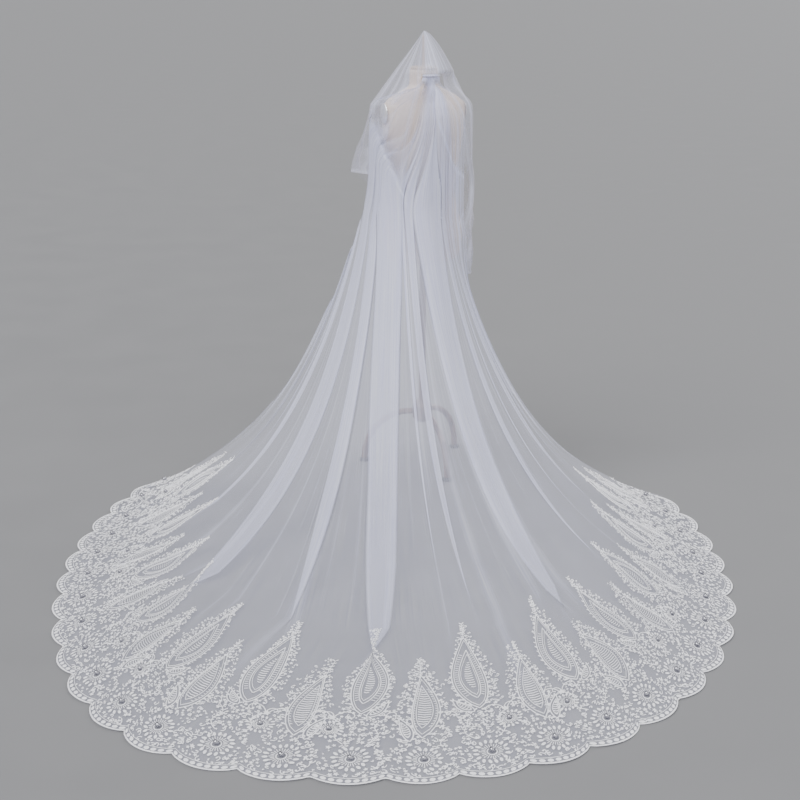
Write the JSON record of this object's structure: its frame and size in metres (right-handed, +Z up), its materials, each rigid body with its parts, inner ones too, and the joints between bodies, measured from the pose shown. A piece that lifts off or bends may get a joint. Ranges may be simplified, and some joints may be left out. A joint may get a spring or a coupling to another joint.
{
  "type": "bridal veil on a dress form",
  "caption": "Long bridal veil of sheer net with a shorter blusher layer and a scalloped lace border, held by a comb on a limbless dress form with a tripod stand.",
  "frame": {"origin": "on the floor, under the middle of the whole object's box", "axes": "+Z up, the train spreads towards -Y, the form stands towards +Y, +X is to the viewer's right"},
  "size_m": [2.1147, 2.4727, 1.62],
  "materials": {
    "net": "soft sheer net",
    "lace": "embroidered lace",
    "band": "gathered and bound net",
    "comb_metal": "bright wire comb",
    "form_cloth": "matt cream jersey",
    "cap_wood": "pale varnished wood",
    "stand_wood": "dark varnished wood",
    "plate_metal": "polished silver plate",
    "pad_rubber": "matt black rubber"
  },
  "bodies": {
    "root": {"long_layer_fall": "net", "long_layer_flare": "net", "long_layer_train": "net", "blusher": "net", "lace_border": "lace", "gathering_band": "band", "comb": "comb_metal", "dress_form": "form_cloth", "neck_cap": "cap_wood", "neck_rod": "cap_wood", "shoulder_plate_left": "plate_metal", "shoulder_plate_right": "plate_metal", "pole": "stand_wood", "hub": "stand_wood", "leg_1": "stand_wood", "leg_2": "stand_wood", "leg_3": "stand_wood", "foot_pad_1": "pad_rubber", "foot_pad_2": "pad_rubber", "foot_pad_3": "pad_rubber"}
  },
  "joints": []
}
